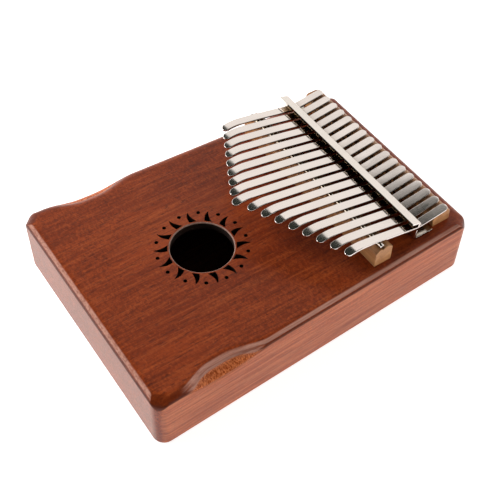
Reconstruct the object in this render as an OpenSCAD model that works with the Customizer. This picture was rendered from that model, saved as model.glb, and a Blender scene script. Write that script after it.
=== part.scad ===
// Seventeen-tine mbira: a hollow box with a sun-shaped sound hole, two bridges,
// a slotted steel bracket and a row of spring-steel tines.
// Millimetres. X runs across the tines, +Y points to the bracket end and +Z is up.
// The origin is the middle of the underside.

/* [Body] */
// Length of the box
body_l = 185; // [180:1:200]
// Width of the box at the sound-hole end
body_w_front = 132; // [128:1:140]
// Width of the box at the bracket end
body_w_back = 117; // [116:1:128]
// Thickness of the box, back plate included
body_t = 32.5; // [30:0.5:38]
// Radius of the four upright corners
corner_r = 6; // [5:0.5:8]
// Height of the rounded top edge
top_round = 2.8; // [2.2:0.1:3.2]
// Width of the rounded top edge
top_in = 4.8; // [3:0.1:5]
// How much deeper the rounding grows on the corners
corner_ease = 2; // [1:0.1:2]
// Radius of the top face's corners
top_corner_r = 7.1; // [6:0.1:8]
// Radius of the eased bottom edge
bottom_round = 1; // [0.5:0.25:1.5]
// Thickness of the soundboard over the cavity
soundboard_t = 4.5; // [3.5:0.5:6]
// Thickness of the side walls
wall_t = 11; // [10:0.5:14]
// Thickness of the back plate
back_t = 3.5; // [3:0.5:5]
// Width of the rim left round the back plate
back_rim = 4; // [3:0.5:6]

/* [Hand grips] */
// How far the grips bite in from the plain edge
grip_in = 4.8; // [3:0.2:5.5]
// Depth of the ledge that the grips leave
grip_floor = 3.3; // [3:0.1:4]
// Where each grip starts, measured from the middle towards the sound-hole end
grip_start = 80; // [78:1:81]
// Where each grip ends, measured from the middle towards the sound-hole end
grip_end = 31; // [25:1:40]
// Where the full depth starts, measured the same way
grip_full_start = 61; // [58:1:64]
// Where the full depth ends, measured the same way
grip_full_end = 54; // [48:1:56]

/* [Sound hole] */
// Distance of the hole's centre from the middle, towards the sound-hole end
hole_back = 28.2; // [26:0.2:32]
// Radius of the sound hole
hole_r = 15.6; // [14:0.2:16]
// Width of the eased edge round the hole
hole_ease = 0.7; // [0.3:0.1:0.8]
// Number of sun rays, and of the dots between them
rays = 14; // [10:1:14]
// Radius at which the rays start
ray_in = 16.8; // [16.8:0.1:17.5]
// Radius at which the rays end
ray_out = 23.6; // [22:0.2:25]
// Radius of the ring of dots
dot_ring = 22.3; // [21.5:0.1:24]
// Radius of each dot
dot_r = 1; // [0.6:0.1:1.2]

/* [Bridges] */
// Length of the front bridge
front_bridge_l = 110.8; // [108:0.2:112]
// Length of the rear bridge
rear_bridge_l = 106; // [104:0.5:108]
// Position of the steel rod along the box
rod_y = 37.3; // [36:0.1:39]
// Height of the rod's centre above the soundboard
rod_z = 11.35; // [11:0.05:12]
// Radius of the rod
rod_r = 1.25; // [1:0.05:1.5]
// Length of the rod
rod_l = 109; // [106:0.5:110]
// Height of the rear bridge
rear_bridge_h = 9.1; // [8.6:0.1:9.1]

/* [Bracket] */
// Length of the bracket
bracket_l = 109.5; // [107:0.5:111]
// Thickness of the steel
bracket_t = 1.2; // [1:0.1:1.4]
// Position of the upright wall's front face
bracket_y = 61.3; // [60:0.1:62]
// Height of the wall up to the underside of the top strip
bracket_h = 10.8; // [10:0.1:11]
// How far the wall's foot stands in front of its top
wall_lean = 1.4; // [0:0.1:1.5]
// Width of the base flange, from the wall's top
flange_w = 10.5; // [9:0.5:11]
// Width of the top strip, wall included
strip_w = 5.4; // [4.5:0.1:6]
// How far the strip rises towards its front edge, as a share of its width
strip_slope = 0.3; // [0:0.01:0.35]
// Sideways shift of the bracket and the rear bridge from the centre line
bracket_shift = -1.95; // [-2:0.05:1.5]
// Radius of the screws' shanks
screw_r = 1.25; // [1:0.05:1.3]
// Length of the screws under the head
screw_l = 13; // [9:0.5:14]

/* [Tines] */
// Distance between neighbouring tines
pitch = 6.3; // [6:0.05:6.4]
// Width of a tine
tine_w = 4.5; // [4:0.1:4.7]
// Thickness of a tine
tine_t = 1.1; // [0.9:0.05:1.2]
// How far the row of tips reaches past the middle of the box
longest_reach = 9.6; // [8:0.2:12]
// How much further the centre tine reaches than the row
centre_extra = 1.2; // [0:0.1:1.5]
// How much shorter each next note's tine is
step = 1.73; // [1.5:0.01:1.9]
// Position of the tines' rear ends
rear_end_y = 80.7; // [79:0.1:82]
// Slope of the tines between the bracket and the rod, in degrees
dip_slope = 12.2; // [11.5:0.1:12.5]
// Slope of the tines behind the bracket, in degrees
tail_slope = 8; // [7:0.5:8.5]
// Slope of the tines in front of the rod, in degrees
tongue_slope = 10.6; // [9:0.1:11]
// Slope of the bent tips below the level, in degrees
tip_slope = 16; // [10:1:18]
// Length of the bent tips
tip_l = 11; // [8:0.5:12]

/* [Hidden] */
tines = 17;
centre_tine = 9;
tongue_name = [for (i = [1 : tines]) str("tine_", i < 10 ? "0" : "", i, "_tongue")];
tail_name = [for (i = [1 : tines]) str("tine_", i < 10 ? "0" : "", i, "_tail")];

taper = atan((body_w_front - body_w_back) / 2 / body_l);
hole_y = -hole_back;
ray_turn = 360 / rays;
dot_turn = -1.4;
ceiling = body_t - soundboard_t;
batten_l = 95;
batten_w = 16;
batten_t = 9;
cavity_r = 6;
plate_r = max(1, corner_r - back_rim);
face_r = min(top_corner_r, (body_l / 2 - top_in - grip_start - 0.3) / (1 + sin(taper)));
screw_y = bracket_y + flange_w - 4.5;
screw_x = [-6.5 * pitch, -3.5 * pitch, 3.5 * pitch, 6.5 * pitch];
screw_head_r = 2.6;
screw_head_h = 1.7;
fit = 0.1;
slack = 0.35;
slot_y = bracket_y + bracket_t / 2;
slot_bend = 2.5;
dip = tan(dip_slope);
rise = tan(tail_slope);
lift = tan(tongue_slope);
rod_top = rod_z + rod_r / cos((dip_slope + tongue_slope) / 2);
slot_z = rod_top - dip * (slot_y - rod_y);
joint_y = rod_y - 0.5;
wood = "#8a4527";
beech = "#d9ae7d";
steel = "#d4d2cc";
end_cut = 1;

function lerp(a, b, t) = a + (b - a) * t;
function smooth(t) = let (c = min(1, max(0, t))) c * c * (3 - 2 * c);
function arc(x, y, r, a0, a1, n) =
    [for (i = [0 : n]) let (a = lerp(a0, a1, i / n)) [x + r * cos(a), y + r * sin(a)]];

// Half the width of the box at y.
function half_w(y) = lerp(body_w_front, body_w_back, y / body_l + 0.5) / 2;

// How much of the grip's full depth is reached at y: 0 on the plain edge, 1 at the deepest.
function grip(y) =
    smooth((y + grip_start) / (grip_start - grip_full_start))
    - smooth((y + grip_full_end) / (grip_full_end - grip_end));

// One point of the outline: place, outward normal, grip, how far round a corner it is,
// from 0 at the corner's ends to 1 in its middle, and how far the top face's corner is cut back.
function corner_points(inset, r, sx, sy, n) =
    let (cy = sy * (body_l / 2 - inset - r))
    let (cx = sx * (half_w(cy) - (inset + r) / cos(taper)))
    let (a_end = sy * 90, a_side = taper)
    let (fy = sy * (body_l / 2 - top_in - face_r))
    let (fx = sx * (half_w(fy) - (top_in + face_r) / cos(taper)))
    let (more = face_r + top_in - r)
    [for (i = [0 : n])
        let (a = lerp(a_end, a_side, i / n), nx = sx * cos(a), ny = sin(a))
        [cx + r * nx, cy + r * ny, nx, ny, 0, pow(sin(180 * i / n), 2),
         fx - cx + more * nx, fy - cy + more * ny]];
function side_points(n) =
    [for (i = [0 : n])
        let (y = lerp(-grip_start, -grip_end, i / n))
        [half_w(y), y, cos(taper), sin(taper), grip(y), 0, 0, 0]];
function mirrored(p) =
    [for (i = [len(p) - 1 : -1 : 0])
        [-p[i][0], p[i][1], -p[i][2], p[i][3], p[i][4], p[i][5], -p[i][6], p[i][7]]];
function backwards(p) = [for (i = [len(p) - 1 : -1 : 0]) p[i]];
function right_half(inset, r, n, with_grip) = concat(
    corner_points(inset, r, 1, -1, n),
    with_grip ? side_points(18) : [],
    backwards(corner_points(inset, r, 1, 1, n)));
function outline(inset, r, n, with_grip = false) =
    let (half = right_half(inset, r, n, with_grip))
    concat(half, mirrored(half));
function flat(points) = [for (p = points) [p[0], p[1]]];

// Section through the top edge as [inset, drop], from the side wall up to the rim.
edge_steps = 8;
function plain_edge(k) =
    let (a = 90 * k / edge_steps)
    [top_in * (1 - cos(a)), top_round * (1 - sin(a))];
grip_rim = grip_in + top_in;
grip_ledge = [[0, grip_floor + 3], [0.4, grip_floor + 1.5], [0.16 * grip_rim, grip_floor + 0.6],
              [0.42 * grip_rim, grip_floor - 0.2]];
function grip_edge(k) =
    let (a = 16 * (edge_steps - k))
    k < len(grip_ledge)
        ? grip_ledge[k]
        : [grip_rim - top_in * sin(a), top_round * (1 - cos(a))];
function edge(k, g, c) =
    let (plain = plain_edge(k))
    lerp([plain[0], plain[1] * lerp(1, corner_ease, c)], grip_edge(k), g);

// Rings of the outer skin, from the underside to the rim.
ease_steps = 2;
function ring(points, level) =
    [for (p = points)
        let (a = 90 * level / ease_steps)
        let (k = max(0, level - ease_steps - 1), e = edge(k, p[4], p[5]))
        let (cut_back = plain_edge(k)[0] / top_in)
        let (inset = level <= ease_steps ? bottom_round * (1 - sin(a)) : e[0])
        let (z = level <= ease_steps ? bottom_round * (1 - cos(a)) : body_t - e[1])
        [p[0] - p[2] * inset + p[6] * cut_back, p[1] - p[3] * inset + p[7] * cut_back, z]];

module skin() {
    points = outline(0, corner_r, 8, true);
    n = len(points);
    top = ease_steps + 1 + edge_steps;
    rings = [for (level = [0 : top]) each ring(points, level)];
    walls = [for (level = [0 : top - 1], i = [0 : n - 1])
        let (j = (i + 1) % n, a = level * n, b = a + n)
        each [[a + i, b + i, b + j], [a + i, b + j, a + j]]];
    floor_face = [for (i = [0 : n - 1]) i];
    top_face = [for (i = [n - 1 : -1 : 0]) top * n + i];
    polyhedron(rings, concat([floor_face], walls, [top_face]));
}

// Lies a profile drawn as [y, height above the soundboard] along X.
module along_x(length, shift = 0) {
    translate([shift - length / 2, 0, body_t])
        rotate([90, 0, 90])
            linear_extrude(length)
                children();
}

// One flame-shaped ray, from curves through [radius, angle].
function polar(p) = [p[0] * cos(p[1]), p[0] * sin(p[1])];
function bezier(p, q, r, t) = (1 - t) * (1 - t) * p + 2 * t * (1 - t) * q + t * t * r;
ray_heel = [ray_in, 2.3];
ray_tip = [ray_out, 11.5];
ray_toe = [ray_in, 15.4];
ray_hollow = [lerp(ray_in, ray_out, 0.39), 11.9];
ray_belly = [lerp(ray_in, ray_out, 0.53), 17.4];
curve_steps = 6;
function ray_outline() = concat(
    [for (i = [0 : curve_steps]) polar(bezier(ray_heel, ray_hollow, ray_tip, i / curve_steps))],
    [for (i = [1 : curve_steps]) polar(bezier(ray_tip, ray_belly, ray_toe, i / curve_steps))]);

module sun_cut() {
    translate([0, hole_y, ceiling - end_cut]) {
        cylinder(r = hole_r, h = soundboard_t + 2 * end_cut, $fn = 96);
        for (i = [0 : rays - 1])
            rotate(i * ray_turn)
                linear_extrude(soundboard_t + 2 * end_cut)
                    polygon(ray_outline());
        for (i = [0 : rays - 1])
            rotate(i * ray_turn + dot_turn)
                translate([dot_ring, 0, 0])
                    cylinder(r = dot_r, h = soundboard_t + 2 * end_cut, $fn = 24);
    }
    translate([0, hole_y, body_t - hole_ease])
        cylinder(r1 = hole_r, r2 = hole_r + 2 * hole_ease, h = 2 * hole_ease, $fn = 96);
}

module screw_cut(r, z, h) {
    for (x = screw_x)
        translate([x, screw_y, z])
            cylinder(r = r, h = h, $fn = 24);
}

module body_shell() {
    color(wood)
        difference() {
            skin();
            translate([0, 0, -end_cut])
                linear_extrude(back_t + end_cut)
                    polygon(flat(outline(back_rim, plate_r, 4)));
            linear_extrude(ceiling)
                polygon(flat(outline(wall_t, cavity_r, 5)));
            sun_cut();
            screw_cut(screw_r + fit, ceiling - end_cut, soundboard_t + 2 * end_cut);
        }
}

module back_plate() {
    color(wood)
        linear_extrude(back_t)
            polygon(flat(outline(back_rim + fit, plate_r, 4)));
}

// Hardwood strip under the soundboard that the bracket's screws bite into.
module screw_batten() {
    color(beech)
        difference() {
            translate([-batten_l / 2, screw_y - batten_w / 2, ceiling - batten_t])
                cube([batten_l, batten_w, batten_t]);
            screw_cut(screw_r, ceiling - batten_t - end_cut, batten_t + 2 * end_cut);
        }
}

module front_bridge() {
    front = rod_y - 4.1;
    rear = rod_y + 6;
    color(beech)
        difference() {
            along_x(front_bridge_l)
                polygon([[front, 0], [rear, 0], [rear, 9.2], [rear - 2.7, 10.9],
                         [front + 2.2, 10.7], [front, 8.8]]);
            along_x(front_bridge_l + 2 * end_cut)
                translate([rod_y, rod_z])
                    circle(r = rod_r, $fn = 48);
        }
}

module bridge_rod() {
    color(steel)
        along_x(rod_l)
            translate([rod_y, rod_z])
                circle(r = rod_r, $fn = 48);
}

module rear_bridge() {
    front = bracket_y + flange_w + 1.4;
    rear = front + 10.8;
    color(beech)
        along_x(rear_bridge_l, bracket_shift)
            polygon(concat(
                [[front, 0], [rear, 0]],
                arc(rear - 4.8, rear_bridge_h - 4.8, 4.8, 0, 90, 6),
                arc(front + 2, rear_bridge_h - 2, 2, 90, 180, 4)));
}

module bracket_profile() {
    t = bracket_t;
    y = bracket_y;
    h = bracket_h;
    foot = y - wall_lean;
    strip_front = y + t - strip_w;
    strip_rise = strip_slope * (y - strip_front);
    polygon(concat(
        [[y + flange_w, 0]],
        arc(foot + t, t, t, 270, 180, 3),
        [[y, h], [strip_front, h + strip_rise], [strip_front, h + strip_rise + t]],
        arc(y, h, t, 90, 0, 3),
        [[foot + t, t + 0.6], [foot + t + 0.6, t], [y + flange_w, t]]));
}

module bracket() {
    slot_w = tine_w + 2 * slack;
    color(steel)
        difference() {
            along_x(bracket_l, bracket_shift)
                bracket_profile();
            for (i = [1 : tines])
                translate([tine_x(i) - slot_w / 2, bracket_y - wall_lean - end_cut, body_t + slot_z - 0.5])
                    cube([slot_w, bracket_t + wall_lean + 2 * end_cut, tine_t + 1]);
            screw_cut(screw_r + fit, body_t - end_cut, bracket_t + 2 * end_cut);
        }
}

module bracket_screws() {
    top = body_t + bracket_t;
    color("#9a9890")
        for (x = screw_x)
            translate([x, screw_y, 0]) {
                translate([0, 0, top - screw_l])
                    cylinder(r = screw_r, h = screw_l, $fn = 24);
                translate([0, 0, top])
                    cylinder(r1 = screw_head_r, r2 = screw_head_r - 0.9, h = screw_head_h, $fn = 36);
            }
}

// Place and length of each tine. The notes climb outwards from the centre, the left side first.
function tine_x(i) = (i - centre_tine) * pitch;
function note(i) = i < centre_tine ? 2 * (centre_tine - i) - 1 : 2 * (i - centre_tine);
function tip_y(i) = step * note(i) - longest_reach - (i == centre_tine ? centre_extra : 0);

// Height of a tine's underside above the soundboard.
function tail_z(y) =
    let (d = y - slot_y, near = max(0, slot_bend - abs(d)))
    slot_z + dip * max(0, -d) + rise * max(0, d) + (dip + rise) / (4 * slot_bend) * near * near;
function tongue_z(i, y) =
    let (d = max(0, tip_y(i) + tip_l - y))
    rod_top + lift * (rod_y - y) - (lift + tan(tip_slope)) / (2 * tip_l) * d * d;

module tine_profile(low) {
    high = [for (i = [len(low) - 1 : -1 : 0]) low[i] + [0, tine_t]];
    polygon(concat(low, high));
}

// Plan of a tine from y0 to y1, with a round end at y0 or at y1.
module tine_plan(y0, y1, round_first) {
    r = tine_w / 2;
    flat_y0 = round_first ? y0 + r : y0;
    flat_y1 = round_first ? y1 : y1 - r;
    linear_extrude(body_t + 30) {
        translate([-r, flat_y0])
            square([tine_w, flat_y1 - flat_y0]);
        translate([0, round_first ? flat_y0 : flat_y1])
            circle(r = r, $fn = 32);
    }
}

module tine_tongue(i) {
    tip = tip_y(i);
    bend_end = tip + tip_l;
    bend_steps = 8;
    ys = concat([for (k = [0 : bend_steps]) lerp(tip, bend_end, k / bend_steps)], [joint_y - slack]);
    color(steel)
        translate([tine_x(i), 0, 0])
            intersection() {
                along_x(tine_w + 2 * end_cut)
                    tine_profile([for (y = ys) [y, tongue_z(i, y)]]);
                tine_plan(tip, joint_y - slack, true);
            }
}

module tine_tail(i) {
    bend_steps = 6;
    bend = [for (k = [0 : bend_steps]) slot_y + slot_bend * (2 * k / bend_steps - 1)];
    ys = concat([joint_y], bend, [rear_end_y]);
    color(steel)
        translate([tine_x(i), 0, 0])
            intersection() {
                along_x(tine_w + 2 * end_cut)
                    tine_profile([for (y = ys) [y, tail_z(y)]]);
                tine_plan(joint_y, rear_end_y, false);
            }
}

body_shell();
back_plate();
screw_batten();
front_bridge();
bridge_rod();
rear_bridge();
bracket();
bracket_screws();
for (i = [1 : tines]) tine_tongue(i);
for (i = [1 : tines]) tine_tail(i);
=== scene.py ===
"""Looks of the seventeen-tine mbira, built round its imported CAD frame.

Lengths in the constants below are millimetres, in the same frame as the CAD:
X runs across the tines, +Y points to the bracket end, +Z is up, and the origin is the middle
of the underside. Meshes are made in metres.
"""
import math
import bmesh
import bpy
from mathutils import Matrix, Vector


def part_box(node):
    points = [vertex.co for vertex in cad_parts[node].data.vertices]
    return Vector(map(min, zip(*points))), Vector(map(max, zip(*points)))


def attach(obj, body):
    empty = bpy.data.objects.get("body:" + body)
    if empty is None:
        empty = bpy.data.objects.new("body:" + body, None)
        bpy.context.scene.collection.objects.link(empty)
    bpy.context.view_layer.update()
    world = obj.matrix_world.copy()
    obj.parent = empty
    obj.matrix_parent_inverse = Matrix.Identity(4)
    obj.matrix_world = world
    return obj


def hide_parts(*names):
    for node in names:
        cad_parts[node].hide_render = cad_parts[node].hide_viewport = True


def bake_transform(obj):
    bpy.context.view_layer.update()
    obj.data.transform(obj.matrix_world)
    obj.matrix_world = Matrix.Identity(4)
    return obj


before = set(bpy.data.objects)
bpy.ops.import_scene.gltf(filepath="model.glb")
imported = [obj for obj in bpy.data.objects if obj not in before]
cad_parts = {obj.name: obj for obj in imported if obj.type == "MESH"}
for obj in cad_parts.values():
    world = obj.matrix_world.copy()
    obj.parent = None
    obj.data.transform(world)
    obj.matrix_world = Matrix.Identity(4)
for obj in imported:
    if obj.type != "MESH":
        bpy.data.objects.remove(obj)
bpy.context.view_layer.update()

MM = 0.001
ROOT = "box"

# Box
BOX_LOW, BOX_HIGH = [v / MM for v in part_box("body_shell")]
LENGTH = BOX_HIGH.y - BOX_LOW.y
THICK = BOX_HIGH.z
WIDTH_FRONT = 132
WIDTH_BACK = 117
CORNER_R = 6
CORNER_EASE = 2
TOP_ROUND = 2.8
TOP_IN = 4.8
FACE_R = 7.1
BOTTOM_ROUND = 1
BOARD_T = 4.5
WALL_T = 11
BACK_T = 3.5
BACK_RIM = 4
BACK_GAP = 0.1
CAVITY_R = 6
TAPER = math.atan((WIDTH_FRONT - WIDTH_BACK) / 2 / LENGTH)
CEILING = THICK - BOARD_T

# Hand grips
GRIP_IN = 4.8
GRIP_FLOOR = 3.3
GRIP_START, GRIP_FULL_START, GRIP_FULL_END, GRIP_END = -80, -61, -54, -31
GRIP_RIM = GRIP_IN + TOP_IN

# Sound hole
HOLE_Y = -28.2
HOLE_R = 15.6
HOLE_EASE = 0.7
SKIN, DARK_WALL, HOLE_RIM = range(3)
RAYS = 14
RAY_IN, RAY_OUT = 16.8, 23.6
DOT_RING = 22.3
DOT_R = 1
DOT_TURN = -1.4

# Bridges, bracket and screws; bridge heights are above the soundboard
FRONT_FACE_H, FRONT_TOP_H, REAR_TOP_H, REAR_FACE_H = 8.8, 10.7, 10.9, 9.2
FRONT_CHAMFER, REAR_CHAMFER = 2.2, 2.7
REAR_BRIDGE_REAR_R, REAR_BRIDGE_FRONT_R = 4.8, 2
ROD_Y = 37.3
ROD_Z = 11.35
ROD_R = 1.25
ROD_EASE = 0.4
BRACKET_Y = 61.3
BRACKET_H = 10.8
BRACKET_T = 1.2
FLANGE_W = 10.5
STRIP_W = 5.4
STRIP_SLOPE = 0.3
WALL_LEAN = 1.4
SLOT_SIDE_GAP = 0.35
SLOT_UNDER_GAP = 0.5
SLOT_H = 2.1
OVERCUT = 1
SCREW_R = 1.25
SCREW_GAP = 0.1
SCREW_L = 13
SCREW_HEAD_R = 2.6
SCREW_HEAD_H = 1.7

# Tines
TINES = 17
CENTRE_TINE = 9
PITCH = 6.3
TINE_W = 4.5
TINE_T = 1.1
REACH = 9.6
CENTRE_EXTRA = 1.2
STEP = 1.73
REAR_END_Y = 80.7
TINE_EASE = 0.3
DIP_ANGLE, RISE_ANGLE, LIFT_ANGLE, TIP_ANGLE = 12.2, 8, 10.6, 16
DIP, RISE, LIFT, TIP_DROP = [math.tan(math.radians(a))
                             for a in (DIP_ANGLE, RISE_ANGLE, LIFT_ANGLE, TIP_ANGLE)]
TIP_L = 11
SLOT_BEND = 2.5
SLOT_Y = BRACKET_Y + BRACKET_T / 2
ROD_TOP = ROD_Z + ROD_R / math.cos(math.radians((DIP_ANGLE + LIFT_ANGLE) / 2))
SLOT_Z = ROD_TOP - DIP * (SLOT_Y - ROD_Y)
JOIN_Y = ROD_Y - 0.5
BLEND_START_Y, BLEND_END_Y = 40.5, 33.5
SCREW_Y = BRACKET_Y + FLANGE_W - 4.5
SCREW_X = [n * PITCH for n in (-6.5, -3.5, 3.5, 6.5)]

# Camera, in degrees, metres and millimetres of focal length
AZIMUTH, ELEVATION, ROLL = 54.73, 49.76, 1.61
CAMERA_PLACE = (0.25587, -0.18092, 0.38212)
FOCAL_L, SENSOR_W = 68.68, 36


def lerp(a, b, t):
    return a + (b - a) * t


def smooth(t):
    t = min(1, max(0, t))
    return t * t * (3 - 2 * t)


def steps(a, b, n):
    return [lerp(a, b, i / n) for i in range(n + 1)]


# ---------------------------------------------------------------- mesh tools

def new_object(name, verts, faces):
    """A mesh object from points in millimetres."""
    mesh = bpy.data.meshes.new(name)
    mesh.from_pydata([(x * MM, y * MM, z * MM) for x, y, z in verts], [], faces)
    mesh.update()
    obj = bpy.data.objects.new(name, mesh)
    bpy.context.scene.collection.objects.link(obj)
    return obj


def outward(obj):
    """Turns all faces outward."""
    bm = bmesh.new()
    bm.from_mesh(obj.data)
    bmesh.ops.recalc_face_normals(bm, faces=bm.faces)
    bm.to_mesh(obj.data)
    bm.free()
    return obj


def loft(name, rings):
    """A closed solid through rings of equally many points, capped at both ends."""
    n = len(rings[0])
    verts = [p for ring in rings for p in ring]
    faces = [tuple(range(n))[::-1], tuple(range((len(rings) - 1) * n, len(rings) * n))]
    for level in range(len(rings) - 1):
        a = level * n
        for i in range(n):
            j = (i + 1) % n
            faces.append((a + i, a + j, a + n + j, a + n + i))
    return outward(new_object(name, verts, faces))


def prism(name, points, z0, z1):
    """A flat outline of (x, y) points raised from z0 to z1."""
    return loft(name, [[(x, y, z) for x, y in points] for z in (z0, z1)])


def bar(name, profile, x0, x1):
    """A profile of (y, height above the soundboard) points laid along X."""
    return loft(name, [[(x, y, THICK + h) for y, h in profile] for x in (x0, x1)])


def turned(name, profile, centre, n, axis="z"):
    """A solid of revolution from (radius, height) points whose first and last radius are 0."""
    cx, cy, cz = centre
    rings = []
    for r, h in profile[1:-1]:
        ring = []
        for i in range(n):
            u = r * math.cos(2 * math.pi * i / n)
            v = r * math.sin(2 * math.pi * i / n)
            ring.append((cx + u, cy + v, cz + h) if axis == "z" else (cx + h, cy + u, cz + v))
        rings.append(ring)
    return loft(name, rings)


def bevel(obj, width, segments=3, angle=35):
    """Rounds the sharp edges of obj by width millimetres."""
    bm = bmesh.new()
    bm.from_mesh(obj.data)
    sharp = [e for e in bm.edges if e.calc_face_angle(0) > math.radians(angle)]
    bmesh.ops.bevel(bm, geom=sharp, offset=width * MM, segments=segments, profile=0.5,
                    affect="EDGES", clamp_overlap=True)
    bm.to_mesh(obj.data)
    bm.free()
    return obj


def baked(obj):
    """Applies obj's modifiers."""
    depsgraph = bpy.context.evaluated_depsgraph_get()
    mesh = bpy.data.meshes.new_from_object(obj.evaluated_get(depsgraph))
    obj.modifiers.clear()
    old = obj.data
    obj.data = mesh
    mesh.name = obj.name
    bpy.data.meshes.remove(old)
    return obj


def cut(obj, *cutters):
    """Takes the cutters away from obj, one after the other."""
    for cutter in cutters:
        step = obj.modifiers.new("cut", "BOOLEAN")
        step.operation = "DIFFERENCE"
        step.solver = "EXACT"
        step.object = cutter
        bpy.context.view_layer.update()
        baked(obj)
        bpy.data.objects.remove(cutter)
    return obj


def joined(name, objects):
    """Several separate meshes as one object."""
    bm = bmesh.new()
    for obj in objects:
        bm.from_mesh(obj.data)
        bpy.data.objects.remove(obj)
    mesh = bpy.data.meshes.new(name)
    bm.to_mesh(mesh)
    bm.free()
    whole = bpy.data.objects.new(name, mesh)
    bpy.context.scene.collection.objects.link(whole)
    return whole


def shade(obj, angle=32):
    """Smooth shading with sharp edges over the angle, and flat faces kept flat."""
    mesh = obj.data
    mesh.polygons.foreach_set("use_smooth", [True] * len(mesh.polygons))
    mesh.set_sharp_from_angle(angle=math.radians(angle))
    keep = obj.modifiers.new("flat", "WEIGHTED_NORMAL")
    keep.keep_sharp = True
    keep.weight = 80
    return baked(obj)


def finish_piece(obj, material, nodes, body=ROOT):
    """Gives a finished piece its material and, if it has one, its body, and hides the CAD nodes that
    it stands for.
    """
    if not obj.data.materials:
        obj.data.materials.append(material)
    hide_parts(*nodes)
    if body:
        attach(obj, body)
    return obj


# ---------------------------------------------------------------- box

def half_width(y):
    return lerp(WIDTH_FRONT, WIDTH_BACK, y / LENGTH + 0.5) / 2


def grip(y):
    """How much of the grip's full depth is reached at y."""
    rise = smooth((y - GRIP_START) / (GRIP_FULL_START - GRIP_START))
    return rise - smooth((y - GRIP_FULL_END) / (GRIP_END - GRIP_FULL_END))


def corner(inset, r, side, end, n):
    """Points round one corner, as place, outward normal, grip, nearness to its middle, and
    how far the top face's corner is cut back."""
    cy = end * (LENGTH / 2 - inset - r)
    cx = side * (half_width(cy) - (inset + r) / math.cos(TAPER))
    fy = end * (LENGTH / 2 - TOP_IN - FACE_R)
    fx = side * (half_width(fy) - (TOP_IN + FACE_R) / math.cos(TAPER))
    more = FACE_R + TOP_IN - r
    points = []
    for a in steps(end * math.pi / 2, TAPER, n):
        nx, ny = side * math.cos(a), math.sin(a)
        middle = math.sin(math.pi * (a - end * math.pi / 2) / (TAPER - end * math.pi / 2)) ** 2
        points.append((cx + r * nx, cy + r * ny, nx, ny, 0, middle,
                       fx - cx + more * nx, fy - cy + more * ny))
    return points


def outline(inset, r, n, side_steps=0):
    """The box's plan, inset all round, with grip points along the sides if asked for."""
    half = corner(inset, r, 1, -1, n)
    if side_steps:
        for y in steps(GRIP_START, GRIP_END, side_steps):
            half.append((half_width(y), y, math.cos(TAPER), math.sin(TAPER), grip(y), 0, 0, 0))
    half += corner(inset, r, 1, 1, n)[::-1]
    return half + [(-x, y, -nx, ny, g, c, -u, v) for x, y, nx, ny, g, c, u, v in reversed(half)]


def plan(inset, r, n):
    return [(p[0], p[1]) for p in outline(inset, r, n)]


def plain_edge(t):
    """Rounded top edge as (inset, drop), t from 0 on the wall to 1 on the top."""
    a = t * math.pi / 2
    return TOP_IN * (1 - math.cos(a)), TOP_ROUND * (1 - math.sin(a))


def grip_edge(t):
    """The grip's section: a ledge under a rounded rim."""
    if t >= 0.5:
        a = math.radians(128 * (1 - t))
        return GRIP_RIM - TOP_IN * math.sin(a), TOP_ROUND * (1 - math.cos(a))
    ledge = [(0, GRIP_FLOOR + 3), (0.4, GRIP_FLOOR + 1.5), (0.16 * GRIP_RIM, GRIP_FLOOR + 0.6),
             (0.42 * GRIP_RIM, GRIP_FLOOR - 0.2), grip_edge(0.5)]
    k = min(3, int(t * 8))
    (a, b), (c, d) = ledge[k], ledge[k + 1]
    f = t * 8 - k
    return lerp(a, c, f), lerp(b, d, f)


def skin():
    """The outer shape of the box."""
    points = outline(0, CORNER_R, 12, 72)
    rings = []
    for a in steps(0, math.pi / 2, 4):
        inset, z = BOTTOM_ROUND * (1 - math.sin(a)), BOTTOM_ROUND * (1 - math.cos(a))
        rings.append([(p[0] - p[2] * inset, p[1] - p[3] * inset, z) for p in points])
    for t in steps(0, 1, 16):
        ring = []
        plain_inset, plain_drop = plain_edge(t)
        cut_back = plain_inset / TOP_IN
        for x, y, nx, ny, g, c, u, v in points:
            inset = lerp(plain_inset, grip_edge(t)[0], g)
            drop = lerp(plain_drop * lerp(1, CORNER_EASE, c), grip_edge(t)[1], g)
            ring.append((x - nx * inset + u * cut_back, y - ny * inset + v * cut_back, THICK - drop))
        rings.append(ring)
    return loft("body_wood", rings)


def bezier(p, q, r, t):
    return (1 - t) ** 2 * p + 2 * t * (1 - t) * q + t * t * r


def ray_points(turn):
    """One flame-shaped ray, from curves through (radius, angle)."""
    heel, tip, toe = (RAY_IN, 2.3), (RAY_OUT, 11.5), (RAY_IN, 15.4)
    hollow = (lerp(RAY_IN, RAY_OUT, 0.39), 11.9)
    belly = (lerp(RAY_IN, RAY_OUT, 0.53), 17.4)
    polar = [tuple(bezier(heel[k], hollow[k], tip[k], t) for k in (0, 1)) for t in steps(0, 1, 12)]
    polar += [tuple(bezier(tip[k], belly[k], toe[k], t) for k in (0, 1)) for t in steps(0, 1, 12)[1:]]
    return [(r * math.cos(math.radians(a + turn)), HOLE_Y + r * math.sin(math.radians(a + turn)))
            for r, a in polar]


def circle(cx, cy, r, n):
    return [(cx + r * math.cos(2 * math.pi * i / n), cy + r * math.sin(2 * math.pi * i / n))
            for i in range(n)]


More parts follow.
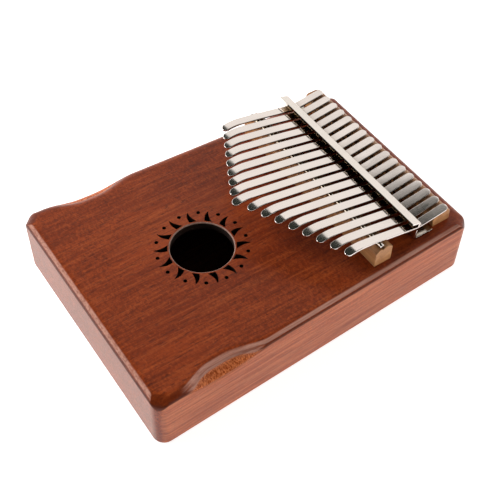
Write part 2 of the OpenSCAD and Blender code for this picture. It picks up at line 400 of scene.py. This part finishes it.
def sun_cutter():
    """Sound hole with its eased edge, the rays, the dots and the screw holes."""
    low, high = CEILING - OVERCUT, THICK + OVERCUT
    ease = [(HOLE_R + HOLE_EASE * (1 - math.cos(a)), THICK - HOLE_EASE * (1 - math.sin(a)))
            for a in steps(0, math.pi / 2, 5)]
    profile = [(0, low), (HOLE_R, low)] + ease + [(HOLE_R + HOLE_EASE, high), (0, high)]
    parts = [turned("hole", profile, (0, HOLE_Y, 0), 144)]
    for i in range(RAYS):
        turn = i * 360 / RAYS
        a = math.radians(turn + DOT_TURN)
        parts.append(prism("ray", ray_points(turn), low, high))
        spot = circle(DOT_RING * math.cos(a), HOLE_Y + DOT_RING * math.sin(a), DOT_R, 24)
        parts.append(prism("dot", spot, low, high))
    for x in SCREW_X:
        way = circle(x, SCREW_Y, SCREW_R + SCREW_GAP, 24)
        parts.append(prism("screw_way", way, low, high))
    return joined("sun_cutter", parts)


def surface_of(face):
    """Which of the box's three materials a face has."""
    c = face.center / MM
    away = math.hypot(c.x, c.y - HOLE_Y)
    if c.z > THICK - HOLE_EASE - 0.01:
        steep = face.normal.z < 0.98
        return HOLE_RIM if steep and away < RAY_IN - 0.2 else SKIN
    # Faces inside the box take the near-black material, painted shade.
    reach = 0.5 - WALL_T
    inside = BACK_T < c.z < THICK - HOLE_EASE and abs(c.x) < half_width(c.y) + reach
    return DARK_WALL if inside and abs(c.y) < LENGTH / 2 + reach else SKIN


def make_body(wood, dark, rim):
    body = skin()
    recess = prism("recess", plan(BACK_RIM, CORNER_R - BACK_RIM, 8), -1, BACK_T)
    cavity = prism("cavity", plan(WALL_T, CAVITY_R, 8), -1, CEILING)
    cut(body, recess, cavity, sun_cutter())
    body.data.materials.clear()
    for material in (wood, dark, rim):
        body.data.materials.append(material)
    for face in body.data.polygons:
        face.material_index = surface_of(face)
    shade(body)
    return finish_piece(body, wood, ["body_shell"])


def make_back(wood):
    back = prism("back_wood", plan(BACK_RIM + BACK_GAP, CORNER_R - BACK_RIM, 8), 0, BACK_T)
    shade(bevel(back, 0.25, 2))
    return finish_piece(back, wood, ["back_plate"])


def make_batten(wood):
    low, high = [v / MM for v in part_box("screw_batten")]
    points = [(low.x, low.y), (high.x, low.y), (high.x, high.y), (low.x, high.y)]
    batten = bevel(prism("batten_wood", points, low.z, high.z), 0.4, 2)
    ways = [prism("way", circle(x, SCREW_Y, SCREW_R, 24), low.z - 1, high.z + 1) for x in SCREW_X]
    cut(batten, joined("ways", ways))
    shade(batten)
    return finish_piece(batten, wood, ["screw_batten"])


# ---------------------------------------------------------------- bridges and rod

def make_front_bridge(wood):
    low, high = [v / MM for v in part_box("front_bridge")]
    front, rear = low.y, high.y
    profile = [(front, 0), (rear, 0), (rear, REAR_FACE_H), (rear - REAR_CHAMFER, REAR_TOP_H),
               (front + FRONT_CHAMFER, FRONT_TOP_H), (front, FRONT_FACE_H)]
    bridge = bevel(bar("front_bridge_wood", profile, low.x, high.x), 0.35, 3, 20)
    groove = [(ROD_Y + ROD_R * math.cos(a), ROD_Z + ROD_R * math.sin(a))
              for a in steps(0, 2 * math.pi, 32)[:-1]]
    cut(bridge, bar("groove", groove, low.x - 2, high.x + 2))
    shade(bridge)
    return finish_piece(bridge, wood, ["front_bridge"])


def make_rear_bridge(wood):
    low, high = [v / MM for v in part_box("rear_bridge")]
    top = high.z - THICK
    r, q = REAR_BRIDGE_REAR_R, REAR_BRIDGE_FRONT_R
    rear_arc = [(high.y - r + r * math.cos(a), top - r + r * math.sin(a))
                for a in steps(0, math.pi / 2, 12)]
    front_arc = [(low.y + q + q * math.cos(a), top - q + q * math.sin(a))
                 for a in steps(math.pi / 2, math.pi, 8)]
    profile = [(low.y, 0), (high.y, 0)] + rear_arc + front_arc
    bridge = shade(bevel(bar("rear_bridge_wood", profile, low.x, high.x), 0.35, 3, 30))
    return finish_piece(bridge, wood, ["rear_bridge"])


def make_rod(steel):
    low, high = [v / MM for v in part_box("bridge_rod")]
    left = [(ROD_R - ROD_EASE + ROD_EASE * math.sin(a), low.x + ROD_EASE * (1 - math.cos(a)))
            for a in steps(0, math.pi / 2, 4)]
    right = [(r, high.x + low.x - h) for r, h in reversed(left)]
    rod = turned("bridge_rod_steel", [(0, low.x)] + left + right + [(0, high.x)],
                 (0, ROD_Y, THICK + ROD_Z), 40, "x")
    shade(rod)
    return finish_piece(rod, steel, ["bridge_rod"])


# ---------------------------------------------------------------- bracket and screws

def bracket_profile():
    """Section of the bracket: a base flange, a leaning wall and a strip that looks forward."""
    y, h, t = BRACKET_Y, BRACKET_H, BRACKET_T
    foot = y - WALL_LEAN
    front = y + t - STRIP_W
    high = h + STRIP_SLOPE * (y - front)
    arc = [(foot + t + t * math.cos(a), t + t * math.sin(a))
           for a in steps(-math.pi / 2, -math.pi, 6)]
    top = [(y + t * math.cos(a), h + t * math.sin(a)) for a in steps(math.pi / 2, 0, 6)]
    return ([(y + FLANGE_W, 0)] + arc + [(y, h), (front, high), (front, high + t)] + top
            + [(foot + t, t + 0.6), (foot + t + 0.6, t), (y + FLANGE_W, t)])


def tine_x(i):
    return (i - CENTRE_TINE) * PITCH


def make_bracket(steel):
    low, high = [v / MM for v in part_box("bracket")]
    bracket = bevel(bar("bracket_steel", bracket_profile(), low.x, high.x), 0.25, 3, 40)
    slots = []
    half = TINE_W / 2 + SLOT_SIDE_GAP
    z0 = SLOT_Z - SLOT_UNDER_GAP
    z1 = z0 + SLOT_H
    y0, y1 = BRACKET_Y - WALL_LEAN - OVERCUT, BRACKET_Y + BRACKET_T + OVERCUT
    section = [(y0, z0), (y1, z0), (y1, z1), (y0, z1)]
    for i in range(1, TINES + 1):
        slots.append(bar("slot", section, tine_x(i) - half, tine_x(i) + half))
    ways = [prism("way", circle(x, SCREW_Y, SCREW_R + SCREW_GAP, 24), THICK - 1, THICK + 3)
            for x in SCREW_X]
    cut(bracket, joined("slots", slots), joined("ways", ways))
    shade(bracket)
    return finish_piece(bracket, steel, ["bracket"])


def make_screw(x):
    """A pan-head screw with a cross recess."""
    base = THICK + BRACKET_T
    foot = base - SCREW_L
    head = [(SCREW_HEAD_R, base), (SCREW_HEAD_R, base + 0.25)]
    head += [(SCREW_HEAD_R - 0.9 + 0.9 * math.cos(a), base + 0.25 + 1.2 * math.sin(a))
             for a in steps(0, math.pi / 2, 6)[1:]]
    crown = [(0.8, base + SCREW_HEAD_H - 0.02), (0, base + SCREW_HEAD_H)]
    profile = [(0, foot), (SCREW_R - 0.3, foot), (SCREW_R, foot + 0.6), (SCREW_R, base - 0.01)]
    screw = turned("screw", profile + head + crown, (x, SCREW_Y, 0), 40)
    arms = []
    for turn in (0.5, 0.5 + math.pi / 2):
        u, v = math.cos(turn), math.sin(turn)
        rings = []
        for half_l, half_w, z in ((0.9, 0.2, base + 0.5), (1.45, 0.38, base + 2.2)):
            ring = [(half_l, half_w), (-half_l, half_w), (-half_l, -half_w), (half_l, -half_w)]
            rings.append([(x + a * u - b * v, SCREW_Y + a * v + b * u, z) for a, b in ring])
        arms.append(loft("arm", rings))
    return cut(screw, *arms)


def make_screws(steel):
    screws = joined("bracket_screws_steel", [make_screw(x) for x in SCREW_X])
    shade(screws)
    return finish_piece(screws, steel, ["bracket_screws"])


# ---------------------------------------------------------------- tines

def tip_y(i):
    """Where a tine's tip is: the lowest note is the centre one, and the notes go out by turns."""
    note = 2 * (CENTRE_TINE - i) - 1 if i < CENTRE_TINE else 2 * (i - CENTRE_TINE)
    return STEP * note - REACH - (CENTRE_EXTRA if i == CENTRE_TINE else 0)


def tine_z(i, y):
    """Height of a tine's underside above the soundboard."""
    if y < JOIN_Y:
        d = max(0, tip_y(i) + TIP_L - y)
        return ROD_TOP + LIFT * (ROD_Y - y) - (LIFT + TIP_DROP) / (2 * TIP_L) * d * d
    d = y - SLOT_Y
    near = max(0, SLOT_BEND - abs(d))
    bend = (DIP + RISE) / (4 * SLOT_BEND) * near * near
    return SLOT_Z + DIP * max(0, -d) + RISE * max(0, d) + bend


def tine_side(i):
    """One long side of a tine's plan, tip to rear end, as (x, y, normal x, normal y)."""
    r = TINE_W / 2
    tip = tip_y(i)
    side = []
    for a in steps(0, math.pi / 2, 8):
        side.append((r * math.sin(a), tip + r * (1 - math.cos(a)), math.sin(a), -math.cos(a)))
    start = tip + r
    for end, n in ((tip + TIP_L, 10), (BLEND_END_Y, 6), (BLEND_START_Y, 14), (SLOT_Y - 3, 5),
                   (SLOT_Y + 3, 12), (REAR_END_Y - r, 5)):
        side += [(r, y, 1, 0) for y in steps(start, end, n)[1:]]
        start = end
    side.pop()
    for a in steps(math.pi / 2, 0, 8):
        side.append((r * math.sin(a), REAR_END_Y - r * (1 - math.cos(a)), math.sin(a), math.cos(a)))
    return side


def strip_faces(n, m, levels):
    """Faces of a tine's mesh: the walls between its levels of n points, whose long sides have
    m points each, and the rows across its top and underside."""
    faces = []
    for level in range(levels - 1):
        a = level * n
        for k in range(n):
            j = (k + 1) % n
            faces.append((a + k, a + j, a + n + j, a + n + k))
    for base in (0, (levels - 1) * n):
        for k in range(m - 1):
            left, left_next = (n - k) % n, (n - k - 1) % n
            if k == 0:
                faces.append((base, base + 1, base + n - 1))
            elif k == m - 2:
                faces.append((base + k, base + k + 1, base + left))
            else:
                faces.append((base + k, base + k + 1, base + left_next, base + left))
    return faces


def make_tine(i, steel):
    """A continuous steel strip with rounded edges, over both of its CAD nodes."""
    name = "tine_%02d" % i
    side = tine_side(i)
    around = side + [(-x, y, -nx, ny) for x, y, nx, ny in side[-2:0:-1]]
    levels = [(TINE_EASE * (1 - math.sin(a)), TINE_EASE * (1 - math.cos(a)))
              for a in steps(0, math.pi / 2, 5)]
    levels += [(inset, TINE_T - h) for inset, h in reversed(levels)]
    verts = []
    for inset, h in levels:
        for x, y, nx, ny in around:
            px, py = x - nx * inset, y - ny * inset
            verts.append((px + tine_x(i), py, THICK + tine_z(i, py) + h))
    faces = strip_faces(len(around), len(side), len(levels))
    tine = outward(new_object(name + "_steel", verts, faces))
    shade(tine, 50)
    finish_piece(tine, steel, [name + "_tongue", name + "_tail"], None)
    x, z = tine_x(i) * MM, (THICK + ROD_Z) * MM
    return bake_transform(tine)


# ---------------------------------------------------------------- materials

class Graph:
    """A material's nodes. Lengths are millimetres."""

    def __init__(self, name):
        self.material = bpy.data.materials.new(name)
        self.material.use_nodes = True
        self.tree = self.material.node_tree
        self.tree.nodes.clear()
        self.surface = self.add("ShaderNodeBsdfPrincipled")
        self.place = self.add("ShaderNodeTexCoord").outputs["Object"]
        out = self.add("ShaderNodeOutputMaterial")
        self.tree.links.new(self.surface.outputs[0], out.inputs[0])

    def add(self, kind):
        return self.tree.nodes.new(kind)

    def put(self, value, socket):
        if isinstance(value, bpy.types.NodeSocket):
            self.tree.links.new(value, socket)
        else:
            socket.default_value = value

    def noise(self, per_mm, detail=2, rough=0.5, distortion=0, shift=(0, 0, 0)):
        """Noise from 0 to 1, with so many waves per millimetre along X, Y and Z."""
        mapping = self.add("ShaderNodeMapping")
        self.put(self.place, mapping.inputs["Vector"])
        mapping.inputs["Scale"].default_value = [s / MM for s in per_mm]
        mapping.inputs["Location"].default_value = shift
        noise = self.add("ShaderNodeTexNoise")
        self.put(mapping.outputs[0], noise.inputs["Vector"])
        noise.inputs["Scale"].default_value = 1
        noise.inputs["Detail"].default_value = detail
        noise.inputs["Roughness"].default_value = rough
        noise.inputs["Distortion"].default_value = distortion
        return noise.outputs["Fac"]

    def math(self, operation, a, b=0.0, clamp=False):
        node = self.add("ShaderNodeMath")
        node.operation = operation
        node.use_clamp = clamp
        self.put(a, node.inputs[0])
        self.put(b, node.inputs[1])
        return node.outputs[0]

    def span(self, value, a, b, low=0.0, high=1.0):
        """Maps a..b of value smoothly onto low..high."""
        node = self.add("ShaderNodeMapRange")
        node.interpolation_type = "SMOOTHSTEP"
        self.put(value, node.inputs["Value"])
        for key, number in (("From Min", a), ("From Max", b), ("To Min", low), ("To Max", high)):
            node.inputs[key].default_value = number
        return node.outputs["Result"]

    def mix(self, share, a, b):
        """Colours a and b mixed by share."""
        node = self.add("ShaderNodeMix")
        node.data_type = "RGBA"
        self.put(share, node.inputs["Factor"])
        for value, socket in ((a, node.inputs[6]), (b, node.inputs[7])):
            self.put(value if isinstance(value, bpy.types.NodeSocket) else (*value, 1), socket)
        return node.outputs[2]

    def ridge(self, radius):
        """1 on edges within radius millimetres, 0 on the flats."""
        bent = self.add("ShaderNodeBevel")
        bent.samples = 4
        bent.inputs["Radius"].default_value = radius * MM
        straight = self.add("ShaderNodeNewGeometry").outputs["Normal"]
        dot = self.add("ShaderNodeVectorMath")
        dot.operation = "DOT_PRODUCT"
        self.put(bent.outputs[0], dot.inputs[0])
        self.put(straight, dot.inputs[1])
        return self.span(dot.outputs["Value"], 0.99, 0.8)

    def openness(self, reach):
        """1 where the surface is open for reach millimetres all round, towards 0 in gaps."""
        open_air = self.add("ShaderNodeAmbientOcclusion")
        open_air.samples = 8
        open_air.inputs["Distance"].default_value = reach * MM
        return open_air.outputs["AO"]

    def end_grain_and_sheen(self):
        """How far a face is an end face, which shows end grain paled by a painted sheen."""
        return self.span(self.math("ABSOLUTE", self.facing()[1]), 0.85, 0.99, 0, 0.25)

    def facing(self):
        """The three parts of the surface's direction."""
        split = self.add("ShaderNodeSeparateXYZ")
        self.put(self.add("ShaderNodeNewGeometry").outputs["Normal"], split.inputs[0])
        return split.outputs

    def window(self, value, a, b, c, d, share=1.0):
        """share where value is between b and c, fading to 0 at a and d."""
        return self.math("MULTIPLY", self.span(value, a, b, 0, share), self.span(value, d, c))

    def spot(self):
        """The three parts of the place in the object."""
        split = self.add("ShaderNodeSeparateXYZ")
        self.put(self.place, split.inputs[0])
        return split.outputs

    def edge_highlight(self):
        """Where a highlight is painted on the top edge's rounding: along the front and right edges,
        faintly along the back and left ones, and wider beside the grips.
        """
        x, y, z = self.facing()
        place = self.spot()
        level = self.math("MAXIMUM", self.math("SUBTRACT", 1, self.math("MULTIPLY", z, z)), 0.001)
        lean = self.math("SQRT", level)
        x = self.math("DIVIDE", x, lean)
        y = self.math("DIVIDE", y, lean)
        front = self.span(self.math("MULTIPLY", y, -1), 0.88, 0.96)
        right = self.math("MULTIPLY", self.span(x, 0.76, 0.88),
                          self.span(place[1], GRIP_START * MM, (GRIP_START + 8) * MM))
        back = self.span(self.math("MAXIMUM", y, self.math("MULTIPLY", x, -1)), 0.8, 0.9, 0, 0.12)
        runs = self.math("MAXIMUM", self.math("MAXIMUM", front, right), back)
        high = self.span(place[2], (THICK - 3.2) * MM, (THICK - 2.6) * MM)
        narrow = self.window(z, 0.74, 0.82, 0.94, 0.975)
        wide = self.math("MULTIPLY", self.window(z, 0.3, 0.6, 0.93, 0.985, 0.8), self.beside_grip())
        return self.math("MULTIPLY", self.math("MULTIPLY", runs, high),
                         self.math("MAXIMUM", narrow, wide))

    def corner_shade(self):
        """Painted shade on the slope between the front corners and the grips."""
        x, _, z = self.facing()
        front = self.span(self.spot()[1], (GRIP_START + 6) * MM, (GRIP_START + 1) * MM)
        side = self.span(self.math("ABSOLUTE", x), 0.06, 0.16)
        return self.math("MULTIPLY", self.math("MULTIPLY", front, side),
                         self.window(z, 0.15, 0.4, 0.97, 0.995, 0.6))

    def beside_grip(self):
        """1 along the grips, 0 elsewhere."""
        marks = (GRIP_START + 1, GRIP_START + 10, GRIP_END - 11, GRIP_END - 3)
        return self.window(self.spot()[1], *[y * MM for y in marks])

    def grip_ledge(self):
        """The ledges that the grips leave."""
        low = self.span(self.spot()[2], (THICK - 2.2) * MM, (THICK - 2.6) * MM)
        up = self.span(self.facing()[2], 0.1, 0.55)
        return self.math("MULTIPLY", self.math("MULTIPLY", self.beside_grip(), low), up)

    def relief(self, height, depth):
        """Bump of so many millimetres."""
        bump = self.add("ShaderNodeBump")
        bump.inputs["Strength"].default_value = 1
        bump.inputs["Distance"].default_value = depth * MM
        self.put(height, bump.inputs["Height"])
        self.put(bump.outputs[0], self.surface.inputs["Normal"])

    def finish(self, colour, roughness, **sockets):
        self.put(colour, self.surface.inputs["Base Color"])
        self.put(roughness, self.surface.inputs["Roughness"])
        for name, value in sockets.items():
            self.surface.inputs[name.replace("_", " ")].default_value = value
        return self.material


def dimmed(colour, share):
    return [c * share for c in colour]


def figure(g, fibre, dark, mid, light):
    """Mahogany's colours along Y: ribbon stripes, curl, fibres and short dashes."""
    ribbon = g.noise((0.075, 0.004, 0.05), 3, 0.55, 0.6)
    band = g.noise((0.35, 0.012, 0.3), 3, 0.6, 0.3, (3, 1, 7))
    curl = g.noise((0.55, 0.85, 0.55), 4, 0.7, 0.5, (6, 2, 9))
    dash = g.noise((1.0, 0.055, 1.0), 4, 0.75, 0.4, (4, 4, 8))
    patch = g.noise((0.02, 0.02, 0.02), 2, 0.5, 0, (1, 8, 4))
    colour = g.mix(g.span(ribbon, 0.32, 0.68), dark, mid)
    colour = g.mix(g.span(band, 0.45, 0.75, 0, 0.65), colour, light)
    colour = g.mix(g.span(fibre, 0.35, 0.7, 0, 0.3), colour, dimmed(dark, 0.45))
    colour = g.mix(g.span(patch, 0.35, 0.75, 0, 0.25), colour, mid)
    curly = g.math("MULTIPLY", g.span(curl, 0.40, 0.66), g.span(patch, 0.35, 0.6, 0.25, 0.7))
    colour = g.mix(curly, colour, dimmed(dark, 0.55))
    colour = g.mix(g.span(curl, 0.46, 0.30, 0, 0.45), colour, light)
    colour = g.mix(g.span(dash, 0.52, 0.64, 0, 0.5), colour, dimmed(dark, 0.4))
    return g.mix(g.span(dash, 0.46, 0.36, 0, 0.4), colour, light)


def lit_flanks(g, colour):
    """The redder, planked look of the long sides, made lighter as painted light."""
    plank = g.noise((0.4, 0.02, 0.9), 4, 0.7, 0.3, (8, 3, 3))
    boards = g.mix(g.span(plank, 0.36, 0.62), (0.36, 0.07, 0.02), (0.80, 0.26, 0.10))
    return g.mix(g.span(g.math("ABSOLUTE", g.facing()[0]), 0.7, 0.95, 0, 0.4), colour, boards)


def edge_light_shade_and_ledges(g, colour, fibre, dark, highlight):
    """Painted highlights on the rounded edges, over a thin line of painted shade where they meet the
    sides; painted shade by the front corners; and the grips' ledges in bare cross-grain wood, whose
    bright sparkle is a painted sheen."""
    ledge = g.grip_ledge()
    # Painted shade: a thin dark line where the rounding meets the side, kept off the ledges.
    line = g.math("SUBTRACT", g.window(g.facing()[2], 0.10, 0.30, 0.62, 0.78, 0.75), ledge, True)
    colour = g.mix(line, colour, dimmed(dark, 0.3))
    colour = g.mix(g.corner_shade(), colour, dimmed(dark, 0.5))
    # Painted highlight on the rounded edges, broken up by the fibres and by streaks.
    highlight_share = g.math("MULTIPLY", g.edge_highlight(), g.span(fibre, 0.3, 0.7, 0.7, 1))
    streak = g.noise((0.5, 0.03, 2.2), 3, 0.6, 0.2, (5, 5, 5))
    colour = g.mix(g.math("MULTIPLY", highlight_share, g.span(streak, 0.35, 0.6, 0.5, 1)), colour, highlight)
    # Bare cross-grain wood on the ledges; its brightness and sparkle are a painted sheen.
    sparkle = g.noise((0.6, 1.6, 1.6), 3, 0.7, 0.4, (2, 2, 5))
    bare = g.mix(g.span(sparkle, 0.38, 0.62), (0.34, 0.055, 0.010), (0.84, 0.25, 0.085))
    return g.mix(g.math("MULTIPLY", ledge, 0.85), colour, bare)


def mahogany(name, dark, mid, light, end, highlight, gloss):
    """Lacquered mahogany with its grain along Y and open pores; painted sheen on its ends, painted
    light on its long sides, painted highlights and shade on its edges, and bare wood on the grips'
    ledges.
    """
    g = Graph(name)
    fibre = g.noise((2.6, 0.07, 2.6), 4, 0.65)
    pores = g.span(g.noise((1.5, 0.22, 1.5), 3, 0.65, 0.3, (11, 5, 2)), 0.56, 0.66)
    colour = figure(g, fibre, dark, mid, light)
    colour = g.mix(g.math("MULTIPLY", pores, 0.6), colour, dimmed(dark, 0.28))
    # The ends: end grain's tone, paled by a painted sheen.
    colour = g.mix(g.end_grain_and_sheen(), colour, end)
    colour = lit_flanks(g, colour)
    colour = edge_light_shade_and_ledges(g, colour, fibre, dark, highlight)
    height = g.math("SUBTRACT", g.math("MULTIPLY", fibre, 0.25), g.math("MULTIPLY", pores, 0.7))
    g.relief(height, 0.045)
    return g.finish(colour, g.span(fibre, 0.3, 0.75, gloss, gloss + 0.14), Specular_IOR_Level=0.25)


def near_black_and_inside_shade():
    """Near-black wood on the walls of the hole, rays and dots, and painted shade over the inside of
    the box.
    """
    g = Graph("near_black_inside_shade_wood")
    fibre = g.noise((1.5, 0.2, 3), 3)
    colour = g.mix(fibre, (0.006, 0.003, 0.002), (0.025, 0.012, 0.008))
    g.relief(fibre, 0.05)
    return g.finish(colour, g.span(fibre, 0.3, 0.7, 0.6, 0.85))


def rim_wood_and_sheen():
    """The pale edge round the sound hole: bare sanded wood, made paler still as a painted highlight.
    """
    g = Graph("hole_rim_wood")
    fibre = g.noise((2.2, 0.3, 2.2), 3, 0.6)
    colour = g.mix(g.span(fibre, 0.3, 0.7), (0.30, 0.16, 0.12), (0.46, 0.29, 0.23))
    g.relief(fibre, 0.03)
    return g.finish(colour, g.span(fibre, 0.3, 0.7, 0.4, 0.6))


def beech(name, dark, light, gloss):
    """Pale beech with its grain along X and short brown flecks."""
    g = Graph(name)
    ring = g.noise((0.008, 0.22, 0.22), 3, 0.55, 0.8)
    fibre = g.noise((0.09, 2.4, 2.4), 3, 0.6)
    fleck = g.noise((0.35, 2.2, 1.1), 1, 0.5, 0, (4, 9, 1))
    colour = g.mix(g.span(ring, 0.3, 0.7), dark, light)
    colour = g.mix(g.span(fibre, 0.4, 0.75, 0, 0.35), colour, dimmed(dark, 0.7))
    flecks = g.span(fleck, 0.60, 0.68)
    colour = g.mix(g.math("MULTIPLY", flecks, 0.5), colour, (0.30, 0.14, 0.06))
    wear = g.math("MULTIPLY", g.ridge(0.5), 0.35)
    colour = g.mix(wear, colour, (0.78, 0.52, 0.30))
    g.relief(g.math("SUBTRACT", g.math("MULTIPLY", fibre, 0.4), flecks), 0.03)
    return g.finish(colour, g.span(fibre, 0.3, 0.7, gloss, gloss + 0.15))


def polished(name, tint, low, high, grain, depth, wear_tint):
    """Polished metal: faint polishing lines along the grain, paler edges and painted shade in the
    gaps.
    low and high are the roughness of its clearest and its cloudiest patches."""
    g = Graph(name)
    line = g.noise(grain, 3, 0.6)
    cloud = g.noise((0.09, 0.05, 0.09), 3, 0.5, 0.4, (2, 6, 3))
    colour = g.mix(g.span(cloud, 0.35, 0.7, 0, 0.5), tint, dimmed(tint, 0.92))
    colour = g.mix(g.math("MULTIPLY", g.ridge(0.25), 0.5), colour, wear_tint)
    # Painted shade: darker gold-brown where the metal is hemmed in by nearby surfaces.
    colour = g.mix(g.span(g.openness(9), 0.95, 0.45, 0, 0.8), colour, (0.19, 0.125, 0.05))
    g.relief(line, depth)
    rough = g.math("ADD", g.span(cloud, 0.3, 0.7, low, high), g.span(line, 0.4, 0.7, 0, 0.03))
    return g.finish(colour, rough, Metallic=1.0)


# ---------------------------------------------------------------- studio

def floor_material():
    g = Graph("studio_floor")
    colour = g.mix(g.noise((0.004, 0.004, 0.004), 2), (0.86, 0.86, 0.86), (0.9, 0.9, 0.9))
    return g.finish(colour, 0.75, Specular_IOR_Level=0.15, Emission_Color=(1, 1, 1, 1),
                    Emission_Strength=0.8)


def make_floor():
    far, z = 4000, -0.05
    corners = [(-far, -far, z), (far, -far, z), (far, far, z), (-far, far, z)]
    floor = new_object("floor", corners, [(0, 1, 2, 3)])
    floor.data.materials.append(floor_material())


def turned_towards(tree, direction, low, high):
    """A share that rises from 0 to 1 as a ray turns towards a direction."""
    way = tree.nodes.new("ShaderNodeTexCoord")
    dot = tree.nodes.new("ShaderNodeVectorMath")
    dot.operation = "DOT_PRODUCT"
    dot.inputs[1].default_value = Vector(direction).normalized()
    share = tree.nodes.new("ShaderNodeMapRange")
    share.interpolation_type = "SMOOTHSTEP"
    share.inputs["From Min"].default_value = low
    share.inputs["From Max"].default_value = high
    tree.links.new(way.outputs["Generated"], dot.inputs[0])
    tree.links.new(dot.outputs["Value"], share.inputs["Value"])
    return share.outputs["Result"]


def make_world():
    """Bright walls all round, and a dark ceiling that leans towards the front right."""
    world = bpy.data.worlds.new("studio")
    world.use_nodes = True
    bpy.context.scene.world = world
    tree = world.node_tree
    tree.nodes.clear()
    wall = tree.nodes.new("ShaderNodeMix")
    wall.data_type = "RGBA"
    wall.inputs[6].default_value = (0.42, 0.42, 0.41, 1)
    wall.inputs[7].default_value = (1.0, 0.975, 0.94, 1)
    tone = tree.nodes.new("ShaderNodeMix")
    tone.data_type = "RGBA"
    tone.inputs[7].default_value = (0.03, 0.035, 0.03, 1)
    sky = tree.nodes.new("ShaderNodeBackground")
    sky.inputs["Strength"].default_value = 0.95
    out = tree.nodes.new("ShaderNodeOutputWorld")
    brighter = turned_towards(tree, (-0.6, 0.6, 0.53), 0.2, 0.6)
    ceiling = turned_towards(tree, (0.25, -0.40, 0.90), 0.48, 0.498)
    tree.links.new(brighter, wall.inputs["Factor"])
    tree.links.new(wall.outputs[2], tone.inputs[6])
    tree.links.new(ceiling, tone.inputs["Factor"])
    tree.links.new(tone.outputs[2], sky.inputs["Color"])
    tree.links.new(sky.outputs[0], out.inputs[0])


def make_light(name, place, size, watts, reflected=False):
    """A soft panel aimed at the box, which shows in the metal only where it's asked to."""
    data = bpy.data.lights.new(name, "AREA")
    data.shape = "RECTANGLE"
    data.size, data.size_y = size
    data.energy = watts
    light = bpy.data.objects.new(name, data)
    light.visible_glossy = reflected
    light.location = place
    way = Vector((0, 0, 0.02)) - Vector(place)
    light.rotation_euler = way.to_track_quat("-Z", "Y").to_euler()
    bpy.context.scene.collection.objects.link(light)


def make_camera():
    """The photograph's view."""
    azimuth, elevation, roll = (math.radians(a) for a in (AZIMUTH, ELEVATION, ROLL))
    back = Vector((math.sin(azimuth) * math.cos(elevation),
                   -math.cos(azimuth) * math.cos(elevation), math.sin(elevation)))
    right = Vector((0, 0, 1)).cross(back).normalized()
    up = back.cross(right)
    side = math.cos(roll) * right + math.sin(roll) * up
    top = math.cos(roll) * up - math.sin(roll) * right
    data = bpy.data.cameras.new("camera")
    data.sensor_width = SENSOR_W
    data.lens = FOCAL_L
    data.clip_start = 0.01
    camera = bpy.data.objects.new("camera", data)
    turn = Matrix((side, top, back)).transposed().to_4x4()
    camera.matrix_world = Matrix.Translation(CAMERA_PLACE) @ turn
    bpy.context.scene.collection.objects.link(camera)
    bpy.context.scene.camera = camera


make_camera()
make_world()
make_floor()
make_light("key", (-0.60, -0.46, 0.60), (0.35, 0.35), 6)
make_light("side", (1.04, 0.44, 0.42), (0.6, 0.35), 4)
make_light("low", (-0.63, -1.0, 0.24), (0.6, 0.3), 4, reflected=True)
bpy.context.scene.view_settings.view_transform = "Standard"

body_wood = mahogany("mahogany", dark=(0.22, 0.030, 0.006), mid=(0.35, 0.055, 0.010),
                     light=(0.46, 0.095, 0.022), end=(0.42, 0.30, 0.24),
                     highlight=(0.64, 0.33, 0.25), gloss=0.30)
back_wood = mahogany("back_mahogany", dark=(0.140, 0.034, 0.015), mid=(0.235, 0.062, 0.026),
                     light=(0.33, 0.115, 0.05), end=(0.36, 0.22, 0.16),
                     highlight=(0.50, 0.30, 0.24), gloss=0.42)
bridge_wood = beech("beech", dark=(0.38, 0.155, 0.055), light=(0.54, 0.255, 0.10), gloss=0.4)
batten_wood = beech("raw_beech", dark=(0.50, 0.33, 0.18), light=(0.64, 0.46, 0.28), gloss=0.7)
tine_metal = polished("tine_steel", tint=(0.885, 0.81, 0.765), low=0.07, high=0.13,
                      grain=(3.5, 0.06, 3.5), depth=0.0005, wear_tint=(0.98, 0.97, 0.94))
rod_metal = polished("rod_steel", tint=(0.86, 0.81, 0.76), low=0.10, high=0.18,
                     grain=(0.05, 3.5, 3.5), depth=0.0012, wear_tint=(0.95, 0.94, 0.92))
bracket_metal = polished("bracket_steel", tint=(0.885, 0.82, 0.76), low=0.09, high=0.17,
                         grain=(0.05, 3.0, 3.0), depth=0.0015, wear_tint=(0.97, 0.96, 0.93))
screw_metal = polished("screw_steel", tint=(0.66, 0.64, 0.60), low=0.18, high=0.3,
                       grain=(1.5, 1.5, 1.5), depth=0.004, wear_tint=(0.85, 0.84, 0.80))

make_body(body_wood, near_black_and_inside_shade(), rim_wood_and_sheen())
make_back(back_wood)
make_batten(batten_wood)
make_front_bridge(bridge_wood)
make_rear_bridge(bridge_wood)
make_rod(rod_metal)
make_bracket(bracket_metal)
make_screws(screw_metal)
for number in range(1, TINES + 1):
    make_tine(number, tine_metal)
